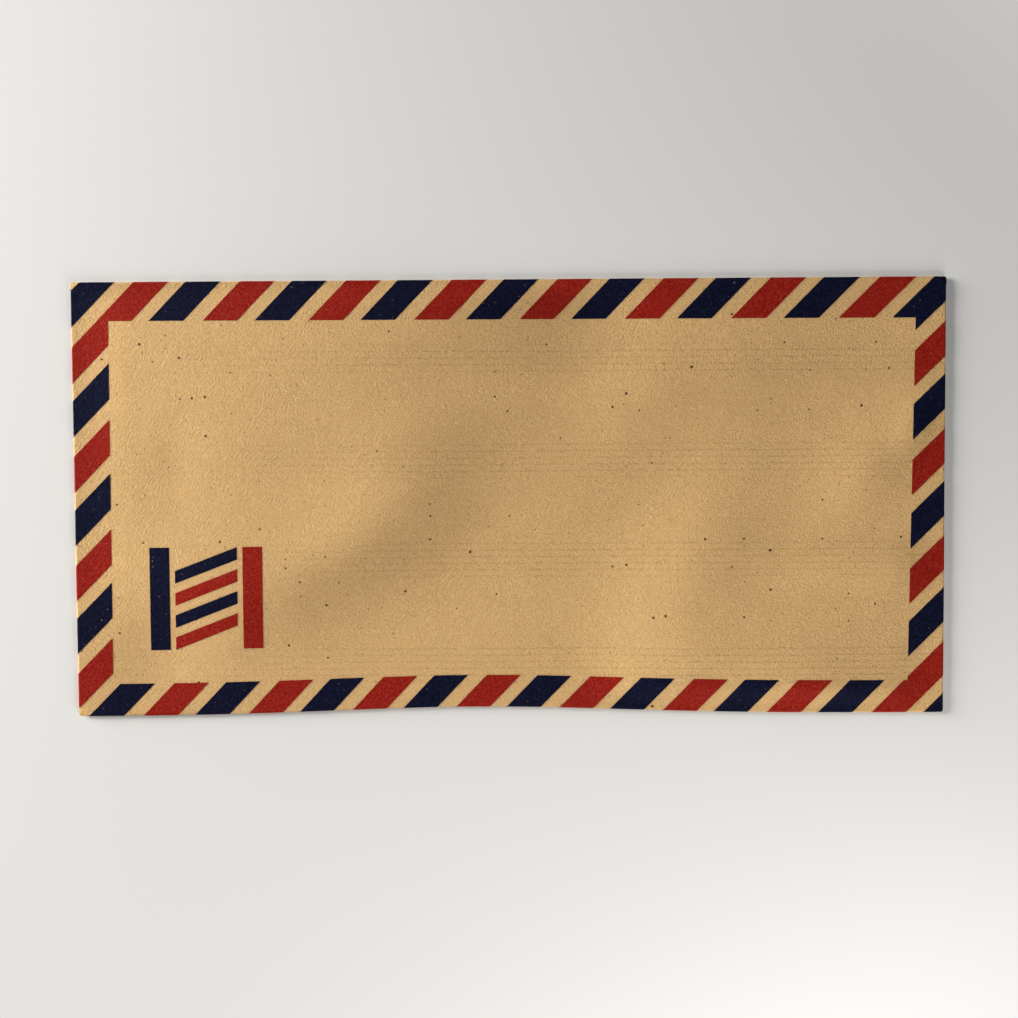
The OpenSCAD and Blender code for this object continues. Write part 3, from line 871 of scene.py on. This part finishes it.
def trim_to_border(print_mesh):
    """Cuts the stripes at the frame's inner edges and at the folds, and keeps the border."""
    work = bmesh.new()
    work.from_mesh(print_mesh)
    corners = [Vector((x * MM, y * MM, 0)) for x, y in INNER]
    edges = []
    for start, end in zip(corners, corners[1:] + corners[:1]):
        along = end - start
        edges.append((start, Vector((along.y, -along.x, 0)).normalized()))
    cuts = list(edges)
    bends = np.arange(0, BLEED + BEND_CUT / 2, BEND_CUT)[1:]
    cuts_x = [*np.linspace(step_x, fold_x, TIP_LINES), *(fold_x + bends)]
    cuts_y = [*np.linspace(step_y, fold_y, TIP_LINES), *(fold_y + bends)]
    for side in (-1, 1):
        for place in cuts_x:
            cuts.append((Vector((side * place * MM, 0, 0)), Vector((1, 0, 0))))
        for place in [end_y, end_y + TIP_EASE, *cuts_y]:
            cuts.append((Vector((0, side * place * MM, 0)), Vector((0, 1, 0))))
    for at, normal in cuts:
        parts = work.verts[:] + work.edges[:] + work.faces[:]
        bmesh.ops.bisect_plane(work, geom=parts, dist=ON_CUT, plane_co=at, plane_no=normal)

    def unwanted(face):
        centre = face.calc_center_median()
        x, y = abs(centre.x) / MM, abs(centre.y) / MM
        inside = all((centre - at).dot(normal) < 0 for at, normal in edges)
        outside = x > fold_x + BLEED or y > fold_y + BLEED
        past_corner = (x > fold_x and y > end_y) or (y > fold_y and x > step_x)
        return inside or outside or past_corner

    bmesh.ops.delete(work, geom=[face for face in work.faces if unwanted(face)], context="FACES")
    work.to_mesh(print_mesh)
    work.free()
    return print_mesh


# %% Lay a print on the paper
INK = 0.02
INK_CLEAR = 0.03


def lay_on_paper(x, y, lift):
    """Places of flat printed points on the outside of the folded paper, all in millimetres."""
    over_x, over_y = np.abs(x) - fold_x, np.abs(y) - fold_y
    at_x, at_y = np.clip(x, -fold_x, fold_x), np.clip(y, -fold_y, fold_y)
    flat_x, flat_y, droop = front_tips(at_x, at_y)
    side_r = (front_z - PAPER - back_at(y)) / 2
    turn_x, turn_y = np.maximum(over_x, 0) / side_r, np.maximum(over_y, 0) / end_radius
    film_x, film_y = side_r + lift, end_radius + lift
    out_x, out_y = np.sign(x) * film_x * np.sin(turn_x), np.sign(y) * film_y * np.sin(turn_y)
    down = film_x * (1 - np.cos(turn_x)) + film_y * (1 - np.cos(turn_y)) + droop
    return np.stack([flat_x + out_x, flat_y + out_y, front_z + lift - down], axis=-1)


def laid_print(name, meshes, material):
    """Joins flat prints of one ink, lays them on the paper and gives them the thickness of ink."""
    work = bmesh.new()
    for mesh in meshes:
        work.from_mesh(mesh)
    bmesh.ops.remove_doubles(work, verts=work.verts, dist=SAME_POINT)
    flat = np.array([vert.co[:] for vert in work.verts]) / MM
    for vert, place in zip(work.verts, lay_on_paper(flat[:, 0], flat[:, 1], INK_CLEAR + INK / 2)):
        vert.co = place * MM
    joined = bpy.data.meshes.new(name)
    work.to_mesh(joined)
    work.free()
    eye = camera.matrix_world.translation
    aim = {"Eye": list(eye), "Sight": 1 / (eye.z - front_z * MM)}
    values = {**lift_sizes, **aim, "Material": material}
    lifted_print = plain_mesh(joined, name, lift_tree, values)
    return plain_mesh(lifted_print, name, thickness=INK * MM)


# %% [markdown]
# ## The badge
# Airmail envelopes carry a small printed badge at the lower left. This one is a plain design with
# no lettering: an upright bar of each ink, with slanting bars between them in turn, like marks on
# old luggage labels, at the usual place and of the usual size. Its bars come from the same tree
# as the stripes, so they bend with the paper too.

# %% Make the badge and print both inks
BADGE_X, BADGE_Y, BADGE_W, BADGE_H = 18.8, 16.8, 28.6, 26.2
BADGE_BAR, BADGE_GAP, BADGE_SLAT, BADGE_CLIMB, BADGE_SLATS = 5.0, 1.4, 3.2, 6.0, 4

badge_left, badge_low = BADGE_X - half_x, BADGE_Y - half_y
badge_middle = badge_left + BADGE_W / 2
slat_w = BADGE_W - 2 * (BADGE_BAR + BADGE_GAP)
slat_rise = (BADGE_H - BADGE_SLAT - BADGE_CLIMB) / (BADGE_SLATS - 1)


def badge_bars(name, side, first_slat):
    """One upright bar, on the left or on the right, and every second slanting bar."""
    middle = (badge_middle + side * (BADGE_W - BADGE_BAR) / 2, badge_low + BADGE_H / 2)
    upright = row_of_bars(name, 1, middle, (0, 0), BADGE_BAR, BADGE_H)
    lowest = badge_low + (BADGE_SLAT + BADGE_CLIMB) / 2 + first_slat * slat_rise
    count = (BADGE_SLATS + 1 - first_slat) // 2
    first, step, climb = (badge_middle, lowest), (0, 2 * slat_rise), BADGE_CLIMB / slat_w
    slats = row_of_bars(name, count, first, step, slat_w, BADGE_SLAT, climb=climb)
    return [upright, slats]


prints = [
    ("red_ink_print", "red_print", "red_ink", red_material, STRIPE_SHIFT + STRIPE_LAG, 1, 0),
    ("navy_ink_print", "navy_print", "navy_ink", navy_material, STRIPE_SHIFT, -1, 1),
]
for name, node, slot, material, middle, badge_side, first_slat in prints:
    border = trim_to_border(stripes(name, middle))
    ink_mesh = laid_print(name, [border] + badge_bars(name, badge_side, first_slat), material)
    finish_piece(ink_mesh, name, node)

# %% [markdown]
# ## The light
# Paper shows its shape only when light grazes it. So the key is a large soft lamp, low on the upper
# left, near enough that the left of the envelope is brighter than the right. A second soft lamp
# below the bottom edge stands for light thrown back by the pale ground there, and the plain world
# fills the shadows. Together they light the paper so that its colour renders about as written.

# %% Light the envelope
LAMPS = [
    # Name, place in mm, watts, size in mm
    ("key_lamp", (-800.0, 250.0, 201.0), 18.7, 350.0),
    ("low_glow", (160.0, -320.0, 136.0), 1.24, 200.0),
]
for name, place, power, size in LAMPS:
    lamp = bpy.data.lights.new(name, "AREA")
    lamp.energy = power
    lamp.size = size * MM
    holder = bpy.data.objects.new(name, lamp)
    bpy.context.scene.collection.objects.link(holder)
    holder.location = Vector(place) * MM
    holder.rotation_euler = (-holder.location).to_track_quat("-Z", "Y").to_euler()
    holder.visible_camera = False
print("lamps:", [lamp[0] for lamp in LAMPS])

# %% [markdown]
# ## The pale surroundings
# The floor is like painted board, plain and pale with hardly a shine, and it takes the shadow. So
# low a lamp would leave a bright patch on it, so beyond the envelope it fades to one even colour.
# The world has that colour too, except overhead, where it would wash out the dark ink. Only rays
# that see a background get it, straight from the camera or by way of a mirror or glass.

# %% Fill the shadows and colour what lies behind
PALE, WHITE = "#e6e5e2", "#ffffff"
FILL = 0.108
CEILING_LOW, CEILING_HIGH = 0.4, 0.8


def show_pale(tree, shader, kind, value, start, full, end):
    """Mixes in the pale colour as a value goes from start to full, for rays that see it."""
    share = {"Value": value, "From Min": start, "From Max": full}
    share = add(tree, MAP_RANGE, share, interpolation_type="SMOOTHSTEP")
    rays = add(tree, "ShaderNodeLightPath").outputs
    seen = rays["Is Camera Ray"]
    for way in ("Is Glossy Ray", "Is Transmission Ray"):
        seen = add(tree, MATH, {0: seen, 1: rays[way]}, operation="MAXIMUM")
    share = add(tree, MATH, {0: share, 1: seen}, operation="MULTIPLY")
    even = add(tree, kind, {"Color": linear(PALE), "Strength": 1.0})
    both = add(tree, "ShaderNodeMixShader", {0: share, 1: shader, 2: even})
    tree.links.new(both.outputs[0], tree.nodes[end].inputs["Surface"])


world = bpy.data.worlds.new("soft_room")
bpy.context.scene.world = world
world.use_nodes = True
sky = world.node_tree
fill = add(sky, "ShaderNodeBackground", {"Color": linear(WHITE), "Strength": FILL})
up = add(sky, "ShaderNodeTexCoord").outputs["Generated"]
up = add(sky, "ShaderNodeSeparateXYZ", {"Vector": up}).outputs["Z"]
show_pale(sky, fill, "ShaderNodeBackground", up, CEILING_HIGH, CEILING_LOW, "World Output")
print("world:", len(sky.nodes), "nodes")

# %% Lay the floor
FLOOR_SIZE, FLOOR_DROP = 6.0, 0.02  # metres across, and millimetres below the paper
FLOOR_NEAR, FLOOR_FAR = 0.13, 0.27  # metres from the middle
FLOOR_PALE, FLOOR_ROUGHNESS, FLOOR_GLOSS = "#dcdad6", 0.9, 0.3

floor_mesh = bpy.data.meshes.new("floor")
half = FLOOR_SIZE / 2
corners = [(-half, -half), (half, -half), (half, half), (-half, half)]
floor_mesh.from_pydata([(x, y, -FLOOR_DROP * MM) for x, y in corners], [], [(0, 1, 2, 3)])
floor = bpy.data.objects.new("floor", floor_mesh)
bpy.context.scene.collection.objects.link(floor)
floor_material, board, shader = new_material("plain painted board", FLOOR_ROUGHNESS, FLOOR_GLOSS)
shader.inputs["Base Color"].default_value = linear(FLOOR_PALE)
away = add(board, "ShaderNodeTexCoord").outputs["Object"]
away = add(board, VECTOR_MATH, {0: away}, operation="LENGTH").outputs["Value"]
show_pale(board, shader, "ShaderNodeEmission", away, FLOOR_NEAR, FLOOR_FAR, "Material Output")
floor_mesh.materials.append(floor_material)
print("floor, m:", FLOOR_SIZE, "even from", FLOOR_FAR)

# %% [markdown]
# ## The view
# The colours are shown as they are, with no film look laid over them.

# %% Set the view
bpy.context.scene.view_settings.view_transform = "Standard"
